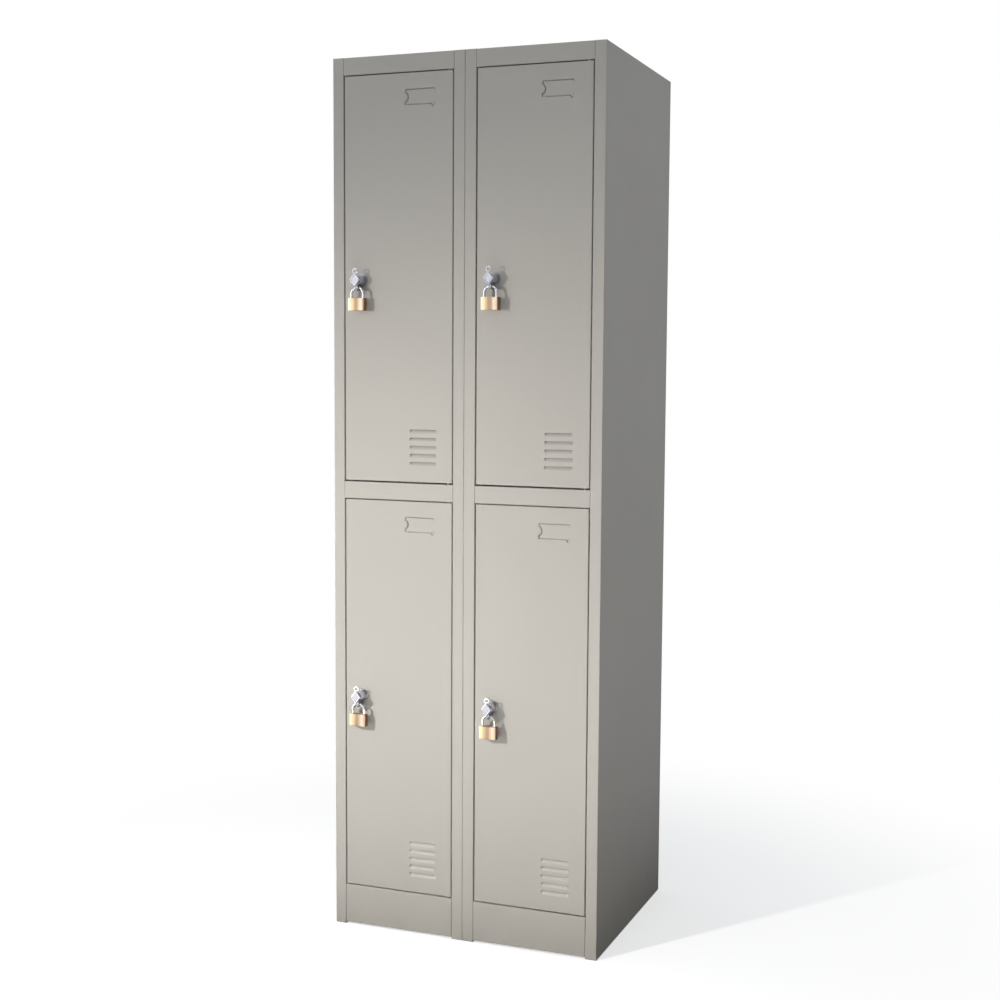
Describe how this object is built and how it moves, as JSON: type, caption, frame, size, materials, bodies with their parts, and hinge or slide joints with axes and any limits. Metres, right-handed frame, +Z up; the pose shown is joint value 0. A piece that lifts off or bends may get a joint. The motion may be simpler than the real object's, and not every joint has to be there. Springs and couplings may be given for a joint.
{
  "type": "locker cabinet",
  "caption": "Tall grey sheet-steel storage locker with stacked louvred doors, each with a label holder, a turn-knob hasp lock and a hanging brass padlock.",
  "frame": {"origin": "centre of the whole object's footprint at floor level, padlocks and knobs included", "axes": "+Z up; -Y is the door front, towards the user; +X is to the right of someone facing the doors"},
  "size_m": [0.6, 0.494, 1.85],
  "materials": {
    "carcass_paint": "warm light grey powder coat, semi-gloss, fine orange peel",
    "door_paint": "warm light grey powder coat, semi-gloss, fine orange peel",
    "lock_chrome": "bright chrome over a zinc die casting",
    "shackle_chrome": "polished chrome-plated hardened steel",
    "padlock_brass": "vertically brushed solid brass",
    "zinc_plated_steel": "bright zinc plate, slightly dull"
  },
  "bodies": {
    "root": {"left_bay_outer_side_panel": "carcass_paint", "left_bay_inner_side_panel": "carcass_paint", "left_bay_back_panel": "carcass_paint", "left_bay_top_panel": "carcass_paint", "left_bay_mid_shelf": "carcass_paint", "left_bay_floor_panel": "carcass_paint", "left_bay_kick_plate": "carcass_paint", "coat_rail_upper_left": "zinc_plated_steel", "coat_rail_lower_left": "zinc_plated_steel", "right_bay_inner_side_panel": "carcass_paint", "right_bay_outer_side_panel": "carcass_paint", "right_bay_back_panel": "carcass_paint", "right_bay_top_panel": "carcass_paint", "right_bay_mid_shelf": "carcass_paint", "right_bay_floor_panel": "carcass_paint", "right_bay_kick_plate": "carcass_paint", "coat_rail_upper_right": "zinc_plated_steel", "coat_rail_lower_right": "zinc_plated_steel", "bay_bolt_upper": "zinc_plated_steel", "bay_bolt_lower": "zinc_plated_steel"},
    "door_upper_left": {"door_panel_upper_left": "door_paint", "door_stiffener_upper_left": "door_paint", "pivot_pin_top_upper_left": "zinc_plated_steel", "pivot_pin_bottom_upper_left": "zinc_plated_steel", "lock_housing_upper_left": "lock_chrome", "lock_nut_upper_left": "zinc_plated_steel"},
    "knob_upper_left": {"lock_knob_upper_left": "lock_chrome", "lock_cam_upper_left": "zinc_plated_steel"},
    "shackle_upper_left": {"padlock_shackle_upper_left": "shackle_chrome"},
    "padlock_upper_left": {"padlock_body_upper_left": "padlock_brass"},
    "door_upper_right": {"door_panel_upper_right": "door_paint", "door_stiffener_upper_right": "door_paint", "pivot_pin_top_upper_right": "zinc_plated_steel", "pivot_pin_bottom_upper_right": "zinc_plated_steel", "lock_housing_upper_right": "lock_chrome", "lock_nut_upper_right": "zinc_plated_steel"},
    "knob_upper_right": {"lock_knob_upper_right": "lock_chrome", "lock_cam_upper_right": "zinc_plated_steel"},
    "shackle_upper_right": {"padlock_shackle_upper_right": "shackle_chrome"},
    "padlock_upper_right": {"padlock_body_upper_right": "padlock_brass"},
    "door_lower_left": {"door_panel_lower_left": "door_paint", "door_stiffener_lower_left": "door_paint", "pivot_pin_top_lower_left": "zinc_plated_steel", "pivot_pin_bottom_lower_left": "zinc_plated_steel", "lock_housing_lower_left": "lock_chrome", "lock_nut_lower_left": "zinc_plated_steel"},
    "knob_lower_left": {"lock_knob_lower_left": "lock_chrome", "lock_cam_lower_left": "zinc_plated_steel"},
    "shackle_lower_left": {"padlock_shackle_lower_left": "shackle_chrome"},
    "padlock_lower_left": {"padlock_body_lower_left": "padlock_brass"},
    "door_lower_right": {"door_panel_lower_right": "door_paint", "door_stiffener_lower_right": "door_paint", "pivot_pin_top_lower_right": "zinc_plated_steel", "pivot_pin_bottom_lower_right": "zinc_plated_steel", "lock_housing_lower_right": "lock_chrome", "lock_nut_lower_right": "zinc_plated_steel"},
    "knob_lower_right": {"lock_knob_lower_right": "lock_chrome", "lock_cam_lower_right": "zinc_plated_steel"},
    "shackle_lower_right": {"padlock_shackle_lower_right": "shackle_chrome"},
    "padlock_lower_right": {"padlock_body_lower_right": "padlock_brass"}
  },
  "joints": [
    {"name": "door_upper_left_hinge", "type": "hinge", "parent": "root", "child": "door_upper_left", "pos_m": [-0.03665, -0.2075, 1.3915], "axis": [0, 0, 1], "range_deg": [0, 110]},
    {"name": "knob_upper_left_turn", "type": "hinge", "parent": "door_upper_left", "child": "knob_upper_left", "pos_m": [-0.234, -0.213, 1.3915], "axis": [0, 1, 0], "range_deg": [0, 90]},
    {"name": "shackle_upper_left_swing", "type": "hinge", "parent": "door_upper_left", "child": "shackle_upper_left", "pos_m": [-0.234, -0.2325, 1.3757], "axis": [-1, 0, 0], "range_deg": [-14, 80]},
    {"name": "padlock_upper_left_release", "type": "slide", "parent": "shackle_upper_left", "child": "padlock_upper_left", "axis": [0, 0, -1], "range_m": [0, 0.01]},
    {"name": "door_upper_right_hinge", "type": "hinge", "parent": "root", "child": "door_upper_right", "pos_m": [0.2635, -0.2075, 1.3915], "axis": [0, 0, 1], "range_deg": [0, 110]},
    {"name": "knob_upper_right_turn", "type": "hinge", "parent": "door_upper_right", "child": "knob_upper_right", "pos_m": [0.06615, -0.213, 1.3915], "axis": [0, 1, 0], "range_deg": [0, 90]},
    {"name": "shackle_upper_right_swing", "type": "hinge", "parent": "door_upper_right", "child": "shackle_upper_right", "pos_m": [0.06615, -0.2325, 1.3757], "axis": [-1, 0, 0], "range_deg": [-14, 80]},
    {"name": "padlock_upper_right_release", "type": "slide", "parent": "shackle_upper_right", "child": "padlock_upper_right", "axis": [0, 0, -1], "range_m": [0, 0.01]},
    {"name": "door_lower_left_hinge", "type": "hinge", "parent": "root", "child": "door_lower_left", "pos_m": [-0.03665, -0.2075, 0.5105], "axis": [0, 0, 1], "range_deg": [0, 110]},
    {"name": "knob_lower_left_turn", "type": "hinge", "parent": "door_lower_left", "child": "knob_lower_left", "pos_m": [-0.234, -0.213, 0.5105], "axis": [0, 1, 0], "range_deg": [0, 90]},
    {"name": "shackle_lower_left_swing", "type": "hinge", "parent": "door_lower_left", "child": "shackle_lower_left", "pos_m": [-0.234, -0.2325, 0.4947], "axis": [-1, 0, 0], "range_deg": [-14, 80]},
    {"name": "padlock_lower_left_release", "type": "slide", "parent": "shackle_lower_left", "child": "padlock_lower_left", "axis": [0, 0, -1], "range_m": [0, 0.01]},
    {"name": "door_lower_right_hinge", "type": "hinge", "parent": "root", "child": "door_lower_right", "pos_m": [0.2635, -0.2075, 0.5105], "axis": [0, 0, 1], "range_deg": [0, 110]},
    {"name": "knob_lower_right_turn", "type": "hinge", "parent": "door_lower_right", "child": "knob_lower_right", "pos_m": [0.06615, -0.213, 0.5105], "axis": [0, 1, 0], "range_deg": [0, 90]},
    {"name": "shackle_lower_right_swing", "type": "hinge", "parent": "door_lower_right", "child": "shackle_lower_right", "pos_m": [0.06615, -0.2325, 0.4947], "axis": [-1, 0, 0], "range_deg": [-14, 80]},
    {"name": "padlock_lower_right_release", "type": "slide", "parent": "shackle_lower_right", "child": "padlock_lower_right", "axis": [0, 0, -1], "range_m": [0, 0.01]}
  ]
}
